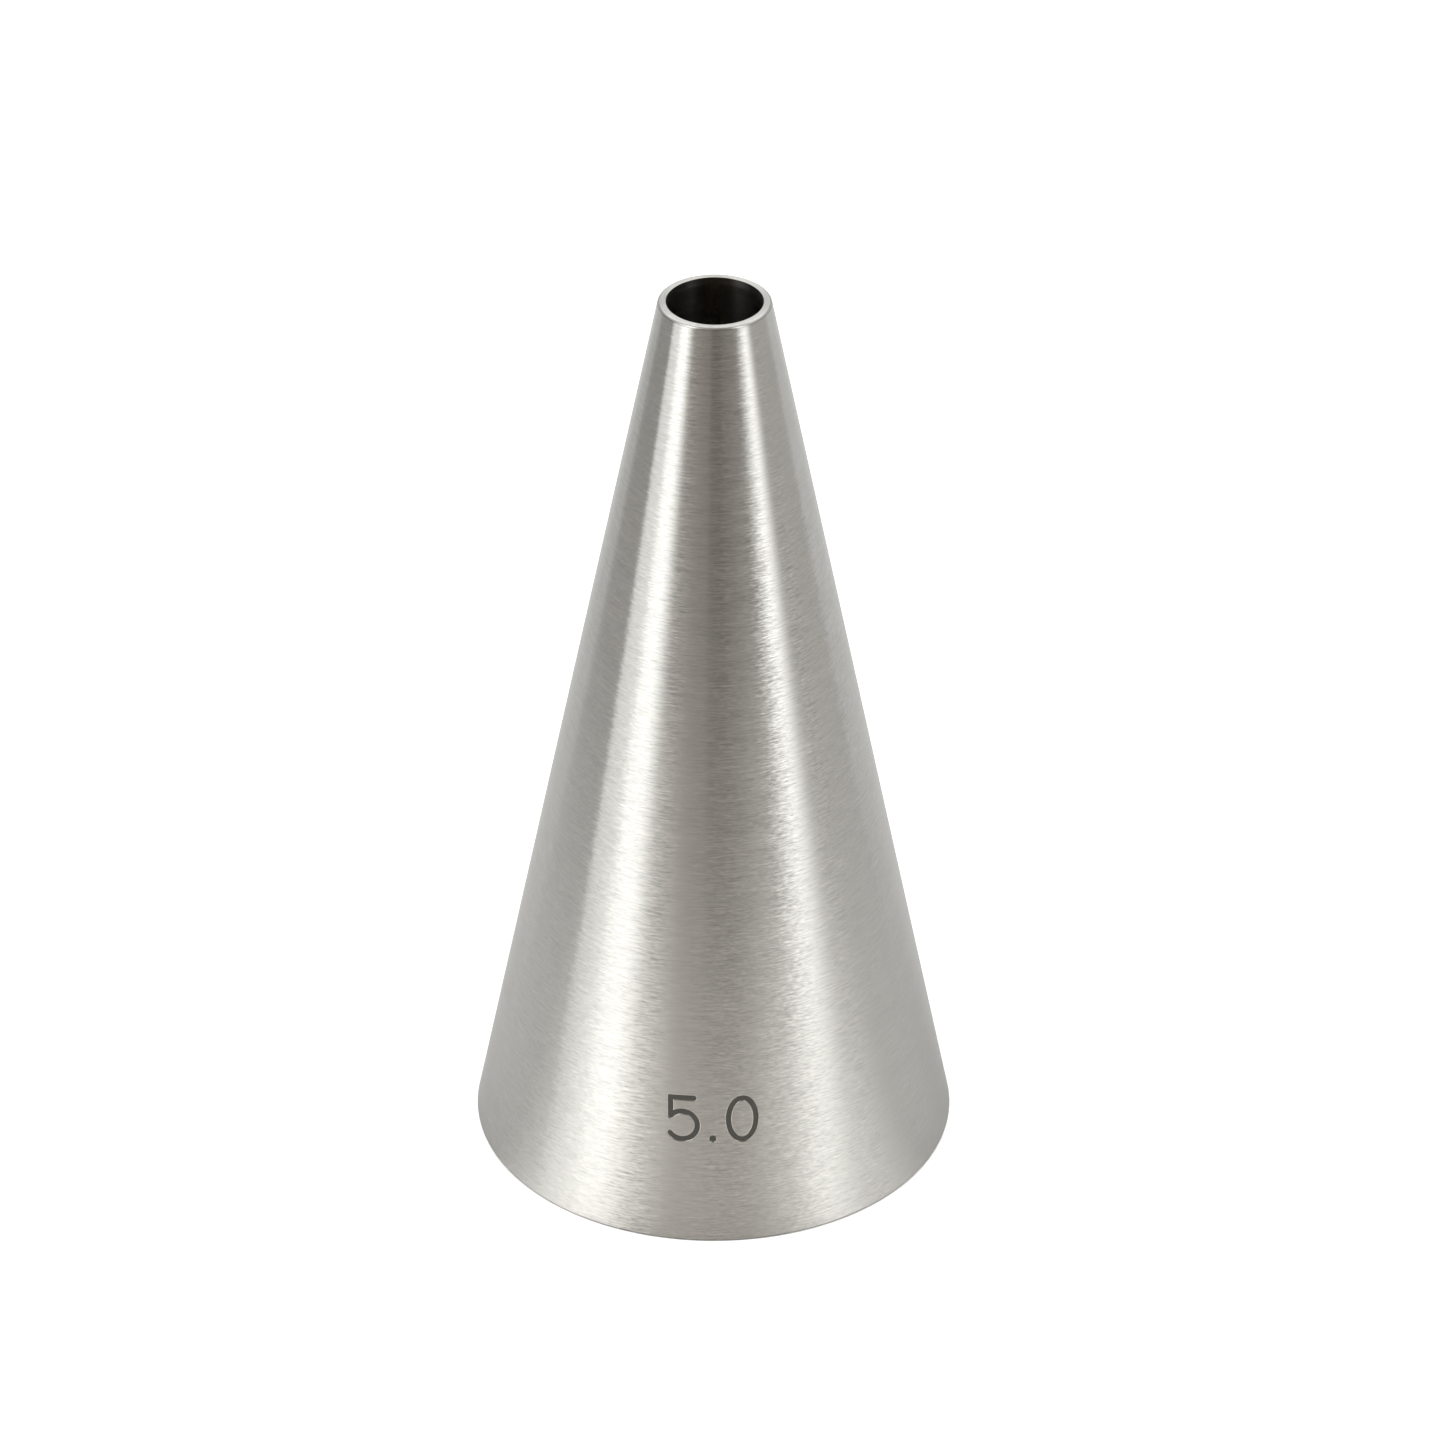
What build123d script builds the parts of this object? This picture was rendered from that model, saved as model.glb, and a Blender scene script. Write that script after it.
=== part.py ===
"""A plain round piping nozzle for a pastry bag: one tapered tube of stainless sheet.

The sheet is rolled into a cone whose two straight edges meet down the back, and a narrow
weld closes them. The small end is faced square and reamed to the size of the outlet, and
the sheet's edges are deburred. A numeral for the outlet's diameter in millimetres is
engraved near the wide end, and its floor carries a dark oxide film.

Millimetres, +Z up. The nozzle stands on its wide end with its axis on Z, and the origin is
the centre of that rim. The outlet is at the top, the numeral faces -Y and the weld is at +Y.
"""

from build123d import *

import os
from math import acos, cos, degrees, hypot, radians, sin, sqrt

# The cone, measured over its outside
height = 50.0
base_diameter = 26.0

# The outlet: its reamed bore, and the face round it, from the bore to the cone's outside, which
# rounds off the outer edge
outlet_diameter = 5.0
lip_width = 0.42
lip_round = 0.18

# The sheet, and the round that deburring leaves on both edges of the wide rim
sheet_thickness = 0.5
rim_round = 0.12

# The weld that fills the gap between the sheet's edges: flush outside, with a low, narrower
# crown inside
weld_width = 0.7
crown_width = 0.54
crown_height = 0.12

# The engraved numeral: its middle's height above the table, its strokes, which are as wide as
# the cutter, and the film on their floor
mark_level = 7.0
mark_height = 2.66
mark_stroke = 0.28
mark_gap = 0.5
mark_depth = 0.06
film_thickness = 0.03

# The numeral's characters. The five's stem and bar reach this far from its middle, and its
# bowl ends at this angle, counted from the line that points to the right.
five_reach = 0.62
five_bowl_radius = 0.8
five_bowl_end = -143
zero_width = 1.74
point_diameter = 0.38

# How far a cutting shape runs past what it cuts
overrun = 1.0

# Places along the cone
base_radius = base_diameter / 2
outlet_radius = outlet_diameter / 2
tip_radius = outlet_radius + lip_width
slant = hypot(height, base_radius - tip_radius)
wall_width = sheet_thickness * slant / height


def outside_radius(level):
    """The cone's outside radius at a height above the table."""
    return base_radius + (tip_radius - base_radius) * level / height


def cone_layer(outer_depth, inner_depth):
    """The full ring between two depths under the cone's outside, measured square to the wall."""
    outer, inner = (depth * slant / height for depth in (outer_depth, inner_depth))
    with BuildPart() as layer:
        with BuildSketch(Plane.XZ):
            with BuildLine():
                Polyline(
                    (base_radius - outer, 0),
                    (tip_radius - outer, height),
                    (tip_radius - inner, height),
                    (base_radius - inner, 0),
                    close=True,
                )
            make_face()
        revolve(axis=Axis.Z)
    return layer.part


# The tapered wall as a whole ring, reamed and deburred. The sheet and the weld divide it.
with BuildPart() as wall:
    add(cone_layer(0, sheet_thickness))
    with Locations((0, 0, height)):
        Hole(outlet_radius, depth=height)
    circles = wall.edges().filter_by(GeomType.CIRCLE).group_by(Axis.Z)
    fillet(circles[-1].sort_by(SortBy.RADIUS)[-1], lip_round)
    circles = wall.edges().filter_by(GeomType.CIRCLE).group_by(Axis.Z)
    fillet(circles[0], rim_round)

# The gap between the sheet's edges, as wide all the way up
with BuildPart() as seam_gap:
    gap_reach = base_radius + overrun
    with Locations((0, gap_reach / 2, height / 2)):
        Box(weld_width, gap_reach, height + 2 * overrun)

# The numeral's outline lies on the plane that touches the front of the cone, where a flat
# template would guide the cutter. It reads 5.0, and the group is centred on the plane's Y axis.
lean = Vector(0, base_radius - tip_radius, height).normalized()
mark_plane = Plane(
    origin=(0, -outside_radius(mark_level), mark_level),
    x_dir=(1, 0, 0),
    z_dir=Vector(1, 0, 0).cross(lean),
)
line_top = (mark_height - mark_stroke) / 2
five_left = five_reach + mark_stroke / 2
five_right = five_bowl_radius + mark_stroke / 2
mark_width = five_left + five_right + 2 * mark_gap + point_diameter + zero_width
five_x = five_left - mark_width / 2
point_x = five_x + five_right + mark_gap + point_diameter / 2
zero_x = mark_width / 2 - zero_width / 2

# The five's cutter goes along a bar, down a stem and round a bowl that starts at the stem's foot.
bowl_y = five_bowl_radius - line_top
bowl_start = degrees(acos(-five_reach / five_bowl_radius))
bar_end = (five_x + five_reach, line_top)
stem_head = (five_x - five_reach, line_top)
stem_foot = (five_x - five_reach, bowl_y + sqrt(five_bowl_radius**2 - five_reach**2))
bowl_tail = (
    five_x + five_bowl_radius * cos(radians(five_bowl_end)),
    bowl_y + five_bowl_radius * sin(radians(five_bowl_end)),
)

with BuildSketch(mark_plane) as numeral:
    with BuildLine():
        Polyline(bar_end, stem_head, stem_foot)
    trace(line_width=mark_stroke)
    with BuildLine():
        CenterArc((five_x, bowl_y), five_bowl_radius, bowl_start, five_bowl_end - bowl_start)
    trace(line_width=mark_stroke)
    # The round cutter leaves round ends
    with Locations(bar_end, stem_foot, bowl_tail):
        Circle(mark_stroke / 2)
    # The decimal point stands on the same line as the digits
    with Locations((point_x, (point_diameter - mark_height) / 2)):
        Circle(point_diameter / 2)
    # The nought is an upright oval ring
    with Locations((zero_x, 0)):
        Ellipse(zero_width / 2, mark_height / 2)
        Ellipse(zero_width / 2 - mark_stroke, line_top - mark_stroke / 2, mode=Mode.SUBTRACT)

# What the cutter takes out of the sheet
with BuildPart() as recess:
    extrude(numeral.sketch, amount=base_radius / 2, both=True)
    add(cone_layer(-overrun, mark_depth), mode=Mode.INTERSECT)

# The rolled sheet, with its two edges standing weld_width apart down the back
with BuildPart() as nozzle_cone:
    add(wall.part)
    add(seam_gap.part, mode=Mode.SUBTRACT)
    add(recess.part, mode=Mode.SUBTRACT)

# The weld takes the sheet's place in the gap, and its crown stands inside the cone. The crown
# is drawn square to the wall's inside line and run up it. It is then cut off where the rim's
# deburring ends, and at the outlet, and the ream that sizes the outlet goes through it too.
with BuildPart() as seam_weld:
    uphill = Vector(0, tip_radius - base_radius, height).normalized()
    inside_foot = Vector(0, base_radius - wall_width, 0)
    crown_plane = Plane(origin=inside_foot - uphill * overrun, x_dir=(1, 0, 0), z_dir=uphill)
    with BuildSketch(crown_plane):
        with BuildLine():
            ThreePointArc((-crown_width / 2, 0), (0, -crown_height), (crown_width / 2, 0))
            Polyline(
                (crown_width / 2, 0),
                (crown_width / 2, sheet_thickness / 2),
                (-crown_width / 2, sheet_thickness / 2),
                (-crown_width / 2, 0),
            )
        make_face()
    extrude(amount=slant + 2 * overrun)
    crown_foot = 2 * rim_round
    with Locations((0, 0, (crown_foot + height) / 2)):
        Box(base_diameter, base_diameter, height - crown_foot, mode=Mode.INTERSECT)
    add(wall.part & seam_gap.part)
    with Locations((0, 0, height)):
        Hole(outlet_radius, depth=height)

# The dark oxide film on the floor of the numeral
with BuildPart() as size_mark:
    extrude(numeral.sketch, amount=base_radius / 2, both=True)
    add(cone_layer(mark_depth - film_thickness, mark_depth), mode=Mode.INTERSECT)

nozzle_cone.part.label = "nozzle_cone"
seam_weld.part.label = "seam_weld"
size_mark.part.label = "size_mark"

os.makedirs("parts", exist_ok=True)
export_step(nozzle_cone.part, "parts/nozzle_cone.step")
export_step(seam_weld.part, "parts/seam_weld.step")
export_step(size_mark.part, "parts/size_mark.step")
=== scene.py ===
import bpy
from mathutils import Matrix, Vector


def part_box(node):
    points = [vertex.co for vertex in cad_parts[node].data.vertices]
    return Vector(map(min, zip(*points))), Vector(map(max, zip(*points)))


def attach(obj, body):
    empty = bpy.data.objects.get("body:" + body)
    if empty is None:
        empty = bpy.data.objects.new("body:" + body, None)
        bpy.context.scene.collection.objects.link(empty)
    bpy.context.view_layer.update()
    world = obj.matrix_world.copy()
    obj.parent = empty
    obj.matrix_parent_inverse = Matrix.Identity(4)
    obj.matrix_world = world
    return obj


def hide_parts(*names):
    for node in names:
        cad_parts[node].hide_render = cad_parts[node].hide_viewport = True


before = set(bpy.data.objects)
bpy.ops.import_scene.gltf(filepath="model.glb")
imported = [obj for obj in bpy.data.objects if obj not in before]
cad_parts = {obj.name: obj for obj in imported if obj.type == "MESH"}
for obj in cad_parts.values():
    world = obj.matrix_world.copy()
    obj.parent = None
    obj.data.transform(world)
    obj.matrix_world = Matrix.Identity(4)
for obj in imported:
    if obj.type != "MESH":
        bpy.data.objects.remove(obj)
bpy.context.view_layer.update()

import math

import bpy
import numpy as np

# A plain round piping nozzle of brushed steel, standing on its wide rim. Its wall and the weld
# down its back are modelled here over their solids, and the film in its engraved numeral is the
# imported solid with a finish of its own. Everything is in metres, unless a name or a comment says
# otherwise.

MM = 0.001

# The nozzle's sizes, as its solids have them
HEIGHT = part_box("nozzle_cone")[1].z
BASE_RADIUS = 13.0 * MM
OUTLET_RADIUS = 2.5 * MM
LIP_WIDTH = 0.42 * MM
LIP_ROUND = 0.18 * MM
RIM_ROUND = 0.12 * MM
SHEET_THICKNESS = 0.5 * MM
WELD_WIDTH = 0.7 * MM
CROWN_WIDTH = 0.54 * MM
CROWN_HEIGHT = 0.12 * MM

# The ripples of the weld's bead: how far apart they lie, and the share of the crown's height that
# they take
RIPPLE = 0.45 * MM
RIPPLE_SHARE = 0.35

# The round that the reamer leaves at the outlet's inner edge
REAM_ROUND = 0.015 * MM

TIP_RADIUS = OUTLET_RADIUS + LIP_WIDTH
SLANT = math.hypot(HEIGHT, BASE_RADIUS - TIP_RADIUS)
TAPER = math.atan2(BASE_RADIUS - TIP_RADIUS, HEIGHT)
WALL_WIDTH = SHEET_THICKNESS / math.cos(TAPER)

# The engraved numeral, drawn on the plane that touches the front of the cone at MARK_LEVEL
MARK_LEVEL = 7.0 * MM
MARK_HEIGHT = 2.66 * MM
MARK_STROKE = 0.28 * MM
MARK_GAP = 0.5 * MM
MARK_DEPTH = 0.06 * MM
MARK_EDGE = 0.02 * MM
FIVE_REACH = 0.62 * MM
FIVE_BOWL_RADIUS = 0.8 * MM
FIVE_BOWL_END = math.radians(-143)
ZERO_WIDTH = 1.74 * MM
POINT_DIAMETER = 0.38 * MM
MARK_WIDTH = FIVE_REACH + FIVE_BOWL_RADIUS + MARK_STROKE + 2 * MARK_GAP + POINT_DIAMETER + ZERO_WIDTH

# The wall's grid: its steps over the numeral, its steps along the rest of the outside and along
# the inside, and how far past the numeral the fine steps go, along the wall and round it
FINE_STEP = 0.024 * MM
COARSE_STEP = 1 * MM
INSIDE_STEP = 2 * MM
MARGIN_ALONG = 0.14 * MM
MARGIN_ROUND = 0.21 * MM

# A point this close to each end of a straight run keeps its shading flat
SUPPORT = 0.02 * MM

# How many steps each round and each ripple has, and how many bearings the wall and the weld have
RIM_STEPS = 8
LIP_STEPS = 6
REAM_STEPS = 3
STEPS_PER_RIPPLE = 5
WALL_BEARINGS = 145
WELD_BEARINGS = 29

# Faces that turn by more than this meet in a sharp edge
SHARP_EDGE = math.radians(60)

# The camera, fitted to the photograph of 1440 by 1440 pixels
IMAGE_SIZE = 1440
FOCAL_PIXELS = 6528
SENSOR_MM = 36.0
CAMERA_PLACE = (0.31 * MM, -291.9 * MM, 210.5 * MM)
CAMERA_PITCH = math.radians(32.478)
CAMERA_ROLL = math.radians(0.12)
CLIP_START = 0.01
CLIP_END = 20


# Camera

def add_camera():
    """The photograph's viewpoint: in front of the nozzle and above it, looking down, and rolled by
    a hair about the line of sight."""
    data = bpy.data.cameras.new("camera")
    data.sensor_width = SENSOR_MM
    data.lens = SENSOR_MM * FOCAL_PIXELS / IMAGE_SIZE
    data.clip_start = CLIP_START
    data.clip_end = CLIP_END
    camera = bpy.data.objects.new("camera", data)
    camera.location = CAMERA_PLACE
    camera.rotation_mode = "ZYX"
    camera.rotation_euler = (math.radians(90) - CAMERA_PITCH, 0, CAMERA_ROLL)
    bpy.context.scene.collection.objects.link(camera)
    bpy.context.scene.camera = camera


# Shapes

def run(start, end, inner=()):
    """A straight run from start to end: both ends, a support point close to each, and the points
    at the distances in inner, each at start plus its share of the way to end."""
    start, end = np.array(start), np.array(end)
    length = np.linalg.norm(end - start)
    support = min(SUPPORT, length / 4)
    distances = np.unique(np.concatenate([[0, support, length - support, length], inner]))
    return start + (end - start) * (distances / length)[:, None]


def corner_arc(corner, before, after, radius, steps):
    """The round at a corner: centre + radius times the unit vector that turns evenly from the one
    edge's normal to the other's. The centre lies on the corner's bisector, radius / sin(half the
    corner's angle) from it."""
    corner, before, after = np.array(corner), np.array(before), np.array(after)
    back = (before - corner) / np.linalg.norm(before - corner)
    on = (after - corner) / np.linalg.norm(after - corner)
    half = math.acos(np.dot(back, on)) / 2
    bisector = (back + on) / np.linalg.norm(back + on)
    centre = corner + bisector * radius / math.sin(half)
    first = corner + back * radius / math.tan(half) - centre
    last = corner + on * radius / math.tan(half) - centre
    angle = math.pi - 2 * half
    share = np.linspace(0, 1, steps + 1)[:, None]
    turned = np.sin((1 - share) * angle) * first + np.sin(share * angle) * last
    return centre + turned / math.sin(angle)


def wall_section(inside_step):
    """The wall's closed section as (radius, height) points, anticlockwise from the rim's outer
    round: up the outside, over the lip, down the bore and the inside, and along the rim. The
    inside run has a point every inside_step. Also gives which points lie on the outside run, and
    on the inside run."""
    inner_base = BASE_RADIUS - WALL_WIDTH
    bore_foot = HEIGHT - (OUTLET_RADIUS - (TIP_RADIUS - WALL_WIDTH)) / math.tan(TAPER)
    rim_out = (BASE_RADIUS, 0)
    tip_out = (TIP_RADIUS, HEIGHT)
    tip_in = (OUTLET_RADIUS, HEIGHT)
    bore_end = (OUTLET_RADIUS, bore_foot)
    rim_in = (inner_base, 0)
    rim_outer = corner_arc(rim_out, rim_in, tip_out, RIM_ROUND, RIM_STEPS)
    lip_outer = corner_arc(tip_out, rim_out, tip_in, LIP_ROUND, LIP_STEPS)
    lip_inner = corner_arc(tip_in, tip_out, bore_end, REAM_ROUND, REAM_STEPS)
    rim_inner = corner_arc(rim_in, bore_end, rim_out, RIM_ROUND, RIM_STEPS)
    rounded_off = np.linalg.norm(rim_outer[-1] - np.array(rim_out))
    mark_middle = MARK_LEVEL / math.cos(TAPER) - rounded_off
    mark_half = MARK_HEIGHT / 2 + MARGIN_ALONG
    fine = np.arange(mark_middle - mark_half, mark_middle + mark_half, FINE_STEP)
    coarse = np.arange(COARSE_STEP, SLANT - COARSE_STEP, COARSE_STEP)
    coarse = coarse[(coarse < fine[0]) | (coarse > fine[-1])]
    inner = np.arange(inside_step, SLANT - INSIDE_STEP, inside_step)
    pieces = [
        rim_outer[:-1],
        run(rim_outer[-1], lip_outer[0], np.concatenate([fine, coarse])),
        lip_outer[1:-1],
        run(lip_outer[-1], lip_inner[0]),
        lip_inner[1:-1],
        run(lip_inner[-1], bore_end),
        run(bore_end, rim_inner[0], inner)[1:],
        rim_inner[1:-1],
        run(rim_inner[-1], rim_outer[0])[:-1],
    ]
    outside_run, inside_run = 1, 6
    part = np.concatenate([np.full(len(p), i) for i, p in enumerate(pieces)])
    return np.concatenate(pieces), part == outside_run, part == inside_run


def on_cone(radius, height, bearing):
    """Points at that radius and height, bearing radians round from the front towards +X: the
    radius times the bearing's sine along X, and against its cosine along Y."""
    x, y, z = np.broadcast_arrays(radius * np.sin(bearing), -radius * np.cos(bearing), height)
    return np.stack([x, y, z], axis=-1)


def add_skin(name, points, material):
    """A closed shell from a grid of points: its rows close on themselves round the section, and
    its first and last columns are capped. Its texture space is centred on the cone's axis, so
    that the direction of the brushing runs round that axis."""
    rows, columns = points.shape[:2]
    index = np.arange(rows * columns).reshape(rows, columns)
    below, above = index, np.roll(index, -1, axis=0)
    quads = np.stack([below[:, :-1], below[:, 1:], above[:, 1:], above[:, :-1]], axis=-1)
    caps = [index[::-1, -1].tolist(), index[:, 0].tolist()]
    mesh = bpy.data.meshes.new(name)
    mesh.from_pydata(points.reshape(-1, 3).tolist(), [], quads.reshape(-1, 4).tolist() + caps)
    mesh.use_auto_texspace = False
    mesh.texspace_location = (0, 0, HEIGHT / 2)
    mesh.texspace_size = (BASE_RADIUS, BASE_RADIUS, HEIGHT / 2)
    mesh.polygons.foreach_set("use_smooth", np.ones(len(mesh.polygons), bool))
    mesh.set_sharp_from_angle(angle=SHARP_EDGE)
    mesh.materials.append(material)
    mesh.validate()
    piece = bpy.data.objects.new(name, mesh)
    bpy.context.scene.collection.objects.link(piece)
    return piece


def segment_distance(x, y, start, end):
    """Distance from points to the segment between start and end: the point's own place less its
    projection, held between the ends."""
    dx, dy = end[0] - start[0], end[1] - start[1]
    share = np.clip(((x - start[0]) * dx + (y - start[1]) * dy) / (dx * dx + dy * dy), 0, 1)
    return np.hypot(x - start[0] - share * dx, y - start[1] - share * dy)


# Keeps the slope at the middle of the nought's oval from being nothing
NEVER_ZERO = 1e-9


def numeral_depth(x, y):
    """How deep the numeral 5.0 is cut at points of the mark's plane. The distance to the nearest
    stroke's edge, less than nothing inside, goes through a smooth step MARK_EDGE each way. The
    nought's distance is its oval's equation over the length of that equation's slope."""
    line_top = (MARK_HEIGHT - MARK_STROKE) / 2
    half = MARK_STROKE / 2
    five_left, five_right = FIVE_REACH + half, FIVE_BOWL_RADIUS + half
    five_x = five_left - MARK_WIDTH / 2
    point_x = five_x + five_right + MARK_GAP + POINT_DIAMETER / 2
    zero_x = MARK_WIDTH / 2 - ZERO_WIDTH / 2
    bowl_y = FIVE_BOWL_RADIUS - line_top
    bowl_start = math.acos(-FIVE_REACH / FIVE_BOWL_RADIUS)
    stem_x = five_x - FIVE_REACH
    stem_foot = bowl_y + FIVE_BOWL_RADIUS * math.sin(bowl_start)
    corner = np.maximum(np.abs(x - stem_x), np.abs(y - line_top))
    bar = segment_distance(x, y, (stem_x, line_top), (five_x + FIVE_REACH, line_top))
    stem = segment_distance(x, y, (stem_x, line_top), (stem_x, stem_foot))
    turn = np.arctan2(y - bowl_y, x - five_x)
    bowl = np.abs(np.hypot(x - five_x, y - bowl_y) - FIVE_BOWL_RADIUS)
    tail_x = five_x + FIVE_BOWL_RADIUS * math.cos(FIVE_BOWL_END)
    tail_y = bowl_y + FIVE_BOWL_RADIUS * math.sin(FIVE_BOWL_END)
    to_tail = np.hypot(x - tail_x, y - tail_y)
    to_foot = np.hypot(x - stem_x, y - stem_foot)
    on_bowl = (turn < bowl_start) & (turn > FIVE_BOWL_END)
    bowl = np.where(on_bowl, bowl, np.minimum(to_tail, to_foot))
    oval_x, oval_y = ZERO_WIDTH / 2 - half, line_top
    norm = np.hypot((x - zero_x) / oval_x, y / oval_y)
    slope = np.hypot((x - zero_x) / oval_x**2, y / oval_y**2) + NEVER_ZERO
    zero = np.abs(norm - 1) * norm / slope
    point = np.hypot(x - point_x, y - (POINT_DIAMETER - MARK_HEIGHT) / 2) - POINT_DIAMETER / 2
    strokes = np.minimum.reduce([corner, bar, stem, bowl, zero]) - half
    edge = np.clip(0.5 - np.minimum(strokes, point) / (2 * MARK_EDGE), 0, 1)
    return MARK_DEPTH * edge * edge * (3 - 2 * edge)


def add_wall(material):
    """The rolled wall: its section carried round from one side of the weld to the other, and on
    the outside run moved in, square to the wall, by the numeral's depth."""
    section, outside, _ = wall_section(INSIDE_STEP)
    radius, height = section[:, :1], section[:, 1:]
    mark_radius = BASE_RADIUS - MARK_LEVEL * math.tan(TAPER)
    mark_half = math.asin((MARK_WIDTH / 2 + MARGIN_ROUND) / mark_radius)
    fine = np.arange(-mark_half, mark_half, FINE_STEP / BASE_RADIUS)
    coarse = np.radians(np.linspace(-180, 180, WALL_BEARINGS))
    bearing = np.unique(np.concatenate([fine, coarse[np.abs(coarse) > mark_half]]))
    weld_half = np.arcsin(WELD_WIDTH / 2 / radius)
    points = on_cone(radius, height, bearing * (1 - weld_half / math.pi))
    outward = on_cone(math.cos(TAPER), math.sin(TAPER), bearing)
    up_front = np.array([0, math.sin(TAPER), math.cos(TAPER)])
    mark_origin = np.array([0, -mark_radius, MARK_LEVEL])
    outer = points[outside]
    on_front = outer[..., 1] < 0
    depth = numeral_depth(outer[..., 0], (outer - mark_origin) @ up_front) * on_front
    points[outside] = outer - outward * depth[..., None]
    return add_skin("cone_wall", points, material)


def add_weld(material):
    """The weld: the same section carried across the gap. On the inside it stands proud by a
    parabola across the bead, times one less a share that falls and springs back every RIPPLE, in
    waves that bow downhill, as the pool froze on its way."""
    section, _, inside = wall_section(RIPPLE / STEPS_PER_RIPPLE)
    radius, height = section[:, :1], section[:, 1:]
    share = np.linspace(-1, 1, WELD_BEARINGS)
    half_angle = np.arcsin(WELD_WIDTH / 2 / radius)
    crown = np.clip(1 - (share * WELD_WIDTH / CROWN_WIDTH) ** 2, 0, 1)
    crown_start = np.clip((height - 2 * RIM_ROUND) / RIM_ROUND, 0, 1)
    wave = ((height + crown * RIPPLE) / RIPPLE) % 1
    rise = CROWN_HEIGHT * crown * crown_start * (1 - RIPPLE_SHARE * wave * (2 - wave))
    lowered = np.where(inside[:, None], np.maximum(radius - rise, OUTLET_RADIUS), radius)
    points = on_cone(lowered, height, math.pi + share * half_angle)
    return add_skin("weld_strip", points, material)


# Finishes

class Field:
    """A number that varies over a surface. Python's operators join such numbers with Math nodes."""

    def __init__(self, graph, socket):
        self.graph, self.socket = graph, socket

    def joined(self, operation, *values):
        """What a Math node makes of the values."""
        made = self.graph.node("Math", {"operation": operation}, *values)
        return Field(self.graph, made.outputs[0])

    def __add__(self, other):
        return self.joined("ADD", self, other)

    def __radd__(self, other):
        return self.joined("ADD", other, self)

    def __sub__(self, other):
        return self.joined("SUBTRACT", self, other)

    def __rsub__(self, other):
        return self.joined("SUBTRACT", other, self)

    def __mul__(self, other):
        return self.joined("MULTIPLY", self, other)

    def __rmul__(self, other):
        return self.joined("MULTIPLY", other, self)

    def __truediv__(self, other):
        return self.joined("DIVIDE", self, other)

    def __rtruediv__(self, other):
        return self.joined("DIVIDE", other, self)

    def __pow__(self, other):
        return self.joined("POWER", self, other)

    def __neg__(self):
        return self.joined("MULTIPLY", self, -1)


class Graph:
    """The nodes of one material or of the world."""

    def __init__(self, owner):
        owner.use_nodes = True
        self.tree = owner.node_tree
        self.tree.nodes.clear()

    def node(self, kind, settings=None, *values, **named):
        """Adds a node of that type, applies its settings, then sets or links its sockets: values in
        their order, and named ones by name, with an underscore for a space."""
        made = self.tree.nodes.new("ShaderNode" + kind)
        for key, value in (settings or {}).items():
            setattr(made, key, value)
        pairs = [(made.inputs[i], v) for i, v in enumerate(values)]
        pairs += [(made.inputs[key.replace("_", " ")], v) for key, v in named.items()]
        for socket, value in pairs:
            if isinstance(value, Field):
                value = value.socket
            if isinstance(value, bpy.types.NodeSocket):
                self.tree.links.new(value, socket)
            elif value is not None:
                socket.default_value = value
        return made

    def field(self, kind, settings=None, *values, output=0, **named):
        """A node's output, as a number that varies."""
        return Field(self, self.node(kind, settings, *values, **named).outputs[output])

    def vector(self, operation, *values, output=0, **named):
        """A Vector Math node's output."""
        return self.node("VectorMath", {"operation": operation}, *values, **named).outputs[output]

    def split(self, vector):
        """The three parts of a vector."""
        parts = self.node("SeparateXYZ", None, vector).outputs
        return [Field(self, part) for part in parts]

    def joined(self, x, y, z):
        """The vector that has these three parts."""
        return self.node("CombineXYZ", None, x, y, z).outputs[0]

    def step(self, value, low, high):
        """A smooth step from 0 at low to 1 at high."""
        settings = {"interpolation_type": "SMOOTHSTEP"}
        return self.field("MapRange", settings, value, From_Min=low, From_Max=high)

    def mix(self, factor, first, second):
        """A colour between two colours, by factor. The sockets between the factor's and the
        colours' are those for other kinds of value."""
        others = [None] * 5
        return self.node("Mix", {"data_type": "RGBA"}, factor, *others, first, second).outputs[2]

    def scaled(self, colour, factor):
        """A colour or a vector times a number."""
        return self.vector("SCALE", colour, Scale=factor)


# Where the abrasive bit deeper: from one bearing to another, in degrees from the front, and by how
# much. Also how gently these strips begin and end, and how deep it bit elsewhere.
BRUSHED_STRIPS = ((-27, -15, 0.9), (-5, 7, 0.3), (19, 47, 0.55))
STRIP_SOFTNESS = 5
BITE_ELSEWHERE = 0.32

# Where the strokes fade, from one number to the next: left of the front, right of it, towards the
# tip and towards the rim. Bearings are in degrees, heights in mm.
CALM_BEARINGS = (-42.0, -28.0)
RIGHT_BEARINGS = (15.0, 23.0)
TIP_HEIGHTS = (35.0, 44.0)
RIM_HEIGHTS = (0.0, 40.0)

# How upright a normal is where the painted shade on the rounds at the lip, the outlet and the rim
# begins, and where those rounds pass into a flat face
SHADED_ROUND_BEGINS = (0.25, 0.4)
SHADED_ROUND_ENDS = (0.93, 0.995)

# How far a normal points to the axis where the inside wall begins
TURNED_IN = (0.2, 0.6)

# How far from the weld's middle its heat tinted the inside, in mm
HEAT_REACH = (0.3, 1.6)

# The colours of the sheet and the weld, of the heat's tint, and of the mark's film
SHEET_TINT = (0.6, 0.595, 0.577, 1)
WELD_TINT = (0.565, 0.557, 0.535, 1)
STRAW_TINT = (0.6, 0.47, 0.28, 1)
OXIDE_DARK = (0.04, 0.038, 0.033, 1)
OXIDE_PALE = (0.075, 0.071, 0.063, 1)

# How high the grain of the mark's film stands
OXIDE_GRAIN = 0.01 * MM


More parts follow.
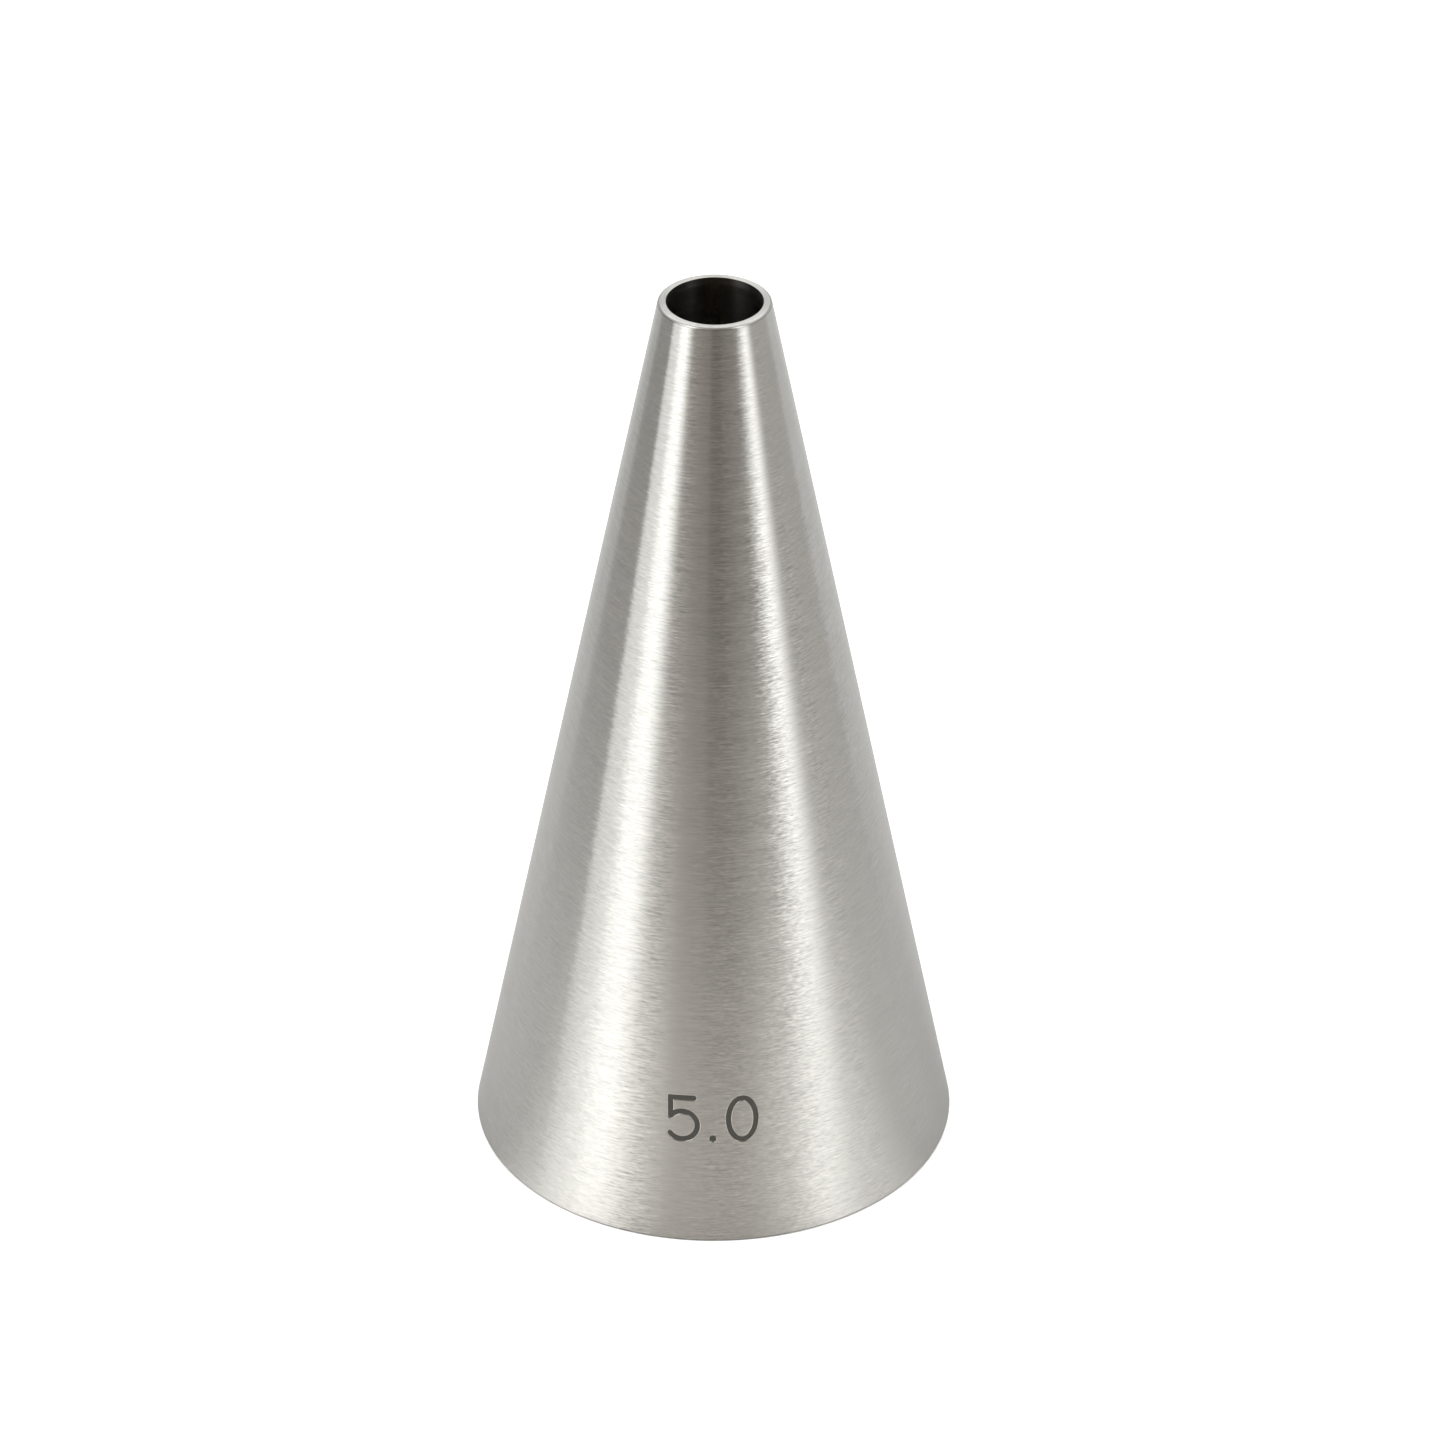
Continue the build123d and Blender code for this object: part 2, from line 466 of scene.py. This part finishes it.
def steel(name, tint):
    """Stainless steel, brushed round the cone outside: short strokes that barely differ in
    direction, over a reflection that spreads along the slant and stays sharp round the cone.
    The rounds at the lip, the outlet and the rim are painted darker, a painted shade that dims
    what they mirror. Inside the cone it is as rolled: darker, with only faint marks, and
    straw-coloured where the weld's heat went."""
    material = bpy.data.materials.new(name)
    graph = Graph(material)
    place = graph.scaled(graph.node("TexCoord").outputs["Object"], 1 / MM)
    x, y, z = graph.split(place)
    radius = (x * x + y * y) ** 0.5
    along = z - radius

    def strokes(length, width, slope, shift):
        """Noise from -0.5 to 0.5, drawn out to strokes of about that length and width in mm, which
        lie at that slope on the front of the cone. The shift tells one layer from the next."""
        where = graph.joined(x / length + shift, y / length - shift, (along + x * slope) / width)
        return graph.field("TexNoise", None, Vector=where, Scale=1.0, Detail=2.0) - 0.5

    fine = strokes(length=0.3, width=0.08, slope=0.04, shift=3.1)
    long = strokes(length=0.9, width=0.1, slope=-0.03, shift=11.9)
    broad = strokes(length=2.2, width=0.3, slope=0.0, shift=17.7)
    smear = strokes(length=6.0, width=1.6, slope=0.0, shift=41.3)
    low = 1 - graph.step(z, *RIM_HEIGHTS)
    around = graph.vector("NORMALIZE", graph.joined(-y, x, 0.0))
    outward = graph.vector("NORMALIZE", graph.joined(x, y, 0.0))
    normal = graph.node("NewGeometry").outputs["Normal"]
    facing = Field(graph, graph.vector("DOT_PRODUCT", normal, outward, output=1))
    inside = graph.step(-facing, *TURNED_IN)
    bearing = x.joined("ARCTAN2", x, -y) * math.degrees(1)
    bite = BITE_ELSEWHERE
    for start, end, extra in BRUSHED_STRIPS:
        begun = graph.step(bearing, start - STRIP_SOFTNESS, start + STRIP_SOFTNESS)
        over = graph.step(bearing, end - STRIP_SOFTNESS, end + STRIP_SOFTNESS)
        bite = begun * (1 - over) * extra + bite
    right = graph.step(bearing, *RIGHT_BEARINGS)
    near_tip = graph.step(z, *TIP_HEIGHTS)
    fading = (1 - right * low * 0.45) * (1 - near_tip * (0.1 + right * 0.5))
    bite = bite * fading
    calm = 1 - graph.step(bearing, *CALM_BEARINGS)
    upward = graph.split(normal)[2]
    upright = (upward * upward) ** 0.5
    # Painted shade: a mask over the rounds at the lip, the outlet and the rim, where the normal is
    # neither level nor upright
    painted_round_shade = graph.step(upright, *SHADED_ROUND_BEGINS) * (1 - graph.step(upright, *SHADED_ROUND_ENDS))
    behind = graph.step(y, 0.0, 1.0)
    aside = (x * x) ** 0.5
    heat = behind * (1 - graph.step(aside, *HEAT_REACH)) * inside
    lean = (fine * 0.14 + long * 0.07 + broad * 0.02) * (0.9 + low * 0.5)
    lean = lean * (1 - inside * 0.7) * (1 - calm * 0.7) * fading
    tilted = graph.vector("ADD", normal, graph.scaled(around, lean))
    marks = 1.0 + (fine + long) * bite + broad * 0.1 + smear * 0.08
    # The rounds are painted a quarter darker, a painted shade that dims what they mirror
    tone = marks * (1 - inside * 0.2) * (1 - painted_round_shade * 0.25)
    straw = graph.mix(heat * 0.5, tint, STRAW_TINT)
    shader = graph.node(
        "BsdfPrincipled",
        None,
        Base_Color=graph.scaled(straw, tone),
        Metallic=1.0,
        Roughness=0.25 + broad * 0.06 + smear * 0.04 - inside * 0.06,
        Anisotropic=1.0,
        Anisotropic_Rotation=0.25,
        Normal=graph.vector("NORMALIZE", tilted),
    )
    graph.node("OutputMaterial", None, shader.outputs[0])
    return material


def mark_oxide(name):
    """The dark film in the numeral: matt, and a little uneven."""
    material = bpy.data.materials.new(name)
    graph = Graph(material)
    place = graph.scaled(graph.node("TexCoord").outputs["Object"], 1 / MM)
    cloud = graph.field("TexNoise", None, Vector=place, Scale=3.0, Detail=4.0)
    grain = graph.field("TexNoise", None, Vector=place, Scale=30.0, Detail=2.0)
    colour = graph.mix(cloud * 0.6 + grain * 0.4, OXIDE_DARK, OXIDE_PALE)
    bump = graph.node("Bump", None, Strength=0.4, Distance=OXIDE_GRAIN, Height=grain)
    shader = graph.node(
        "BsdfPrincipled",
        None,
        Base_Color=colour,
        Metallic=0.3,
        Roughness=0.55 + cloud * 0.2,
        Normal=bump.outputs[0],
    )
    graph.node("OutputMaterial", None, shader.outputs[0])
    return material


# Studio

# The two planes that the nozzle stands on lie just below its rim, the mirrored one on top
FLOOR_HALF = 2.0
FLOOR_LEVEL = -0.02 * MM
FLOOR_WHITE = (0.9, 0.9, 0.9, 1)
TABLE_HALF = 0.25
TABLE_LEVEL = -0.01 * MM

# The soft light above: its width and height in metres, and its power in watts
OVERHEAD_WIDTH = 1.2
OVERHEAD_HEIGHT = 0.7
OVERHEAD_POWER = 9


def add_plane(name, half_size, height, material):
    """A square plane at that height, facing up."""
    sides = (-half_size, half_size)
    corners = [(cx, cy, height) for cy in sides for cx in sides]
    mesh = bpy.data.meshes.new(name)
    mesh.from_pydata(corners, [], [(0, 1, 3, 2)])
    mesh.materials.append(material)
    plane = bpy.data.objects.new(name, mesh)
    bpy.context.scene.collection.objects.link(plane)
    return plane


def floor_paint():
    """The pale floor, which is see-through from below."""
    material = bpy.data.materials.new("floor_paint")
    graph = Graph(material)
    pale = graph.node("BsdfDiffuse", None, Color=FLOOR_WHITE).outputs[0]
    clear = graph.node("BsdfTransparent").outputs[0]
    below = graph.node("NewGeometry").outputs["Backfacing"]
    graph.node("OutputMaterial", None, graph.node("MixShader", None, below, pale, clear).outputs[0])
    return material


def white(level):
    """A nearly neutral grey of that brightness."""
    return (level, level, level * 0.985, 1)


def cream(level):
    """A slightly warm grey."""
    return (level * 1.03, level, level * 0.95, 1)


def warm(level):
    """A warmer grey, as a dark part of the room has."""
    return (level * 1.12, level, level * 0.9, 1)


# What the steel mirrors: the light from the room round the table, and the tone of the table round
# the nozzle. Each holds from its bearing to the next, and the last one on to the first, with an
# edge soft by so many degrees. Bearing 0 is towards the camera, and 90 is towards +X.
ROOM = (
    (-144, 10.0, white(0.6)),
    (-121, 2.0, cream(0.375)),
    (-84, 1.0, white(1.2)),
    (-66, 4.0, white(1.83)),
    (-46, 9.0, warm(0.25)),
    (-6, 2.0, warm(0.165)),
    (11, 1.0, warm(0.205)),
    (49, 13.0, white(1.95)),
    (64, 10.0, cream(0.515)),
    (115, 1.0, white(0.7)),
    (146, 10.0, white(0.82)),
)
TABLE = (
    (-83, 16.0, white(0.61)),
    (-66, 16.0, white(0.91)),
    (-32, 20.0, cream(0.4)),
    (29, 20.0, white(0.75)),
    (60, 18.0, white(0.55)),
    (82, 14.0, white(0.37)),
    (112, 12.0, white(0.34)),
    (136, 10.0, white(0.38)),
)

# How far out the mirrored table reaches, and from where on it fades
TABLE_RADIUS = 110 * MM
TABLE_FADE = 50 * MM

# A ray that the wall mirrors seems to come from a point ahead of the axis, by AHEAD over the cosine
# of the wall's bearing. Far round the sides, that cosine counts as LEAST_COSINE.
AHEAD = 4 * MM
LEAST_COSINE = 0.15

# By how much the room's lights grow where they are brightest, and where they grow and fall back,
# in heights from 0 at table level to 1 overhead
HIGHER_UP = 1.2
LIGHTS_GROW = (0.45, 0.7)
LIGHTS_FALL = (0.8, 0.95)


def all_round(graph, x, y, places):
    """A colour that depends on the bearing of a place or a direction, as places lists it."""
    bearing = x.joined("ARCTAN2", x, -y) * math.degrees(1)
    colour = places[-1][2]
    for start, softness, from_there in places:
        begun = graph.step(bearing, start - softness, start + softness)
        colour = graph.mix(begun, colour, from_there)
    return colour


def table_paint():
    """The table as the steel mirrors it, gone far out. Each bearing of the wall shows one tone of
    the table. The mirrored rays leave the wall at twice its bearing, and drawn backwards they meet
    in front of the axis, at half the wall's radius over the cosine of its bearing."""
    material = bpy.data.materials.new("table_paint")
    graph = Graph(material)
    place = graph.node("TexCoord").outputs["Object"]
    x, y, _ = graph.split(place)
    distance = Field(graph, graph.vector("LENGTH", place, output=1))
    wall = x.joined("ARCTAN2", x, -(y + AHEAD)) / 2
    ahead = AHEAD / wall.joined("MAXIMUM", wall.joined("COSINE", wall), LEAST_COSINE)
    tone = all_round(graph, x, y + ahead, TABLE)
    pale = graph.node("BsdfDiffuse", None, Color=tone).outputs[0]
    clear = graph.node("BsdfTransparent").outputs[0]
    gone = graph.step(distance, TABLE_FADE, TABLE_RADIUS)
    graph.node("OutputMaterial", None, graph.node("MixShader", None, gone, pale, clear).outputs[0])
    return material


def studio_world():
    """A dark room with tall soft lights, brightest higher up. The camera itself sees white."""
    world = bpy.data.worlds.new("studio")
    bpy.context.scene.world = world
    graph = Graph(world)
    x, y, z = graph.split(graph.node("TexCoord").outputs["Generated"])
    band = graph.step(z, *LIGHTS_GROW) * (1 - graph.step(z, *LIGHTS_FALL))
    room = graph.scaled(all_round(graph, x, y, ROOM), band * HIGHER_UP + 1)
    light = graph.node("Background", None, Color=room, Strength=1.0).outputs[0]
    plain = graph.node("Background", None, Color=(1, 1, 1, 1), Strength=1.0).outputs[0]
    seen = graph.node("LightPath").outputs["Is Camera Ray"]
    graph.node("OutputWorld", None, graph.node("MixShader", None, seen, light, plain).outputs[0])


def add_overhead_light():
    """A large soft light above, which only whitens the floor."""
    data = bpy.data.lights.new("overhead", "AREA")
    data.shape = "SQUARE"
    data.size = OVERHEAD_WIDTH
    data.energy = OVERHEAD_POWER
    light = bpy.data.objects.new("overhead", data)
    light.location = (0, 0, OVERHEAD_HEIGHT)
    light.visible_glossy = False
    light.visible_camera = False
    bpy.context.scene.collection.objects.link(light)


def add_studio():
    """Floor, mirrored table, room and light, shown without any tone curve."""
    floor = add_plane("floor", FLOOR_HALF, FLOOR_LEVEL, floor_paint())
    floor.visible_glossy = False
    table = add_plane("mirrored_table", TABLE_HALF, TABLE_LEVEL, table_paint())
    table.visible_camera = False
    table.visible_diffuse = False
    table.visible_shadow = False
    studio_world()
    add_overhead_light()
    bpy.context.scene.view_settings.view_transform = "Standard"


# Assembly

add_camera()
wall = add_wall(steel("brushed_steel", SHEET_TINT))
weld = add_weld(steel("weld_steel", WELD_TINT))
for piece, node in ((wall, "nozzle_cone"), (weld, "seam_weld")):
    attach(piece, "root")
    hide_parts(node)
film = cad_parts["size_mark"]
film.data.materials.clear()
film.data.materials.append(mark_oxide("mark_oxide"))
add_studio()
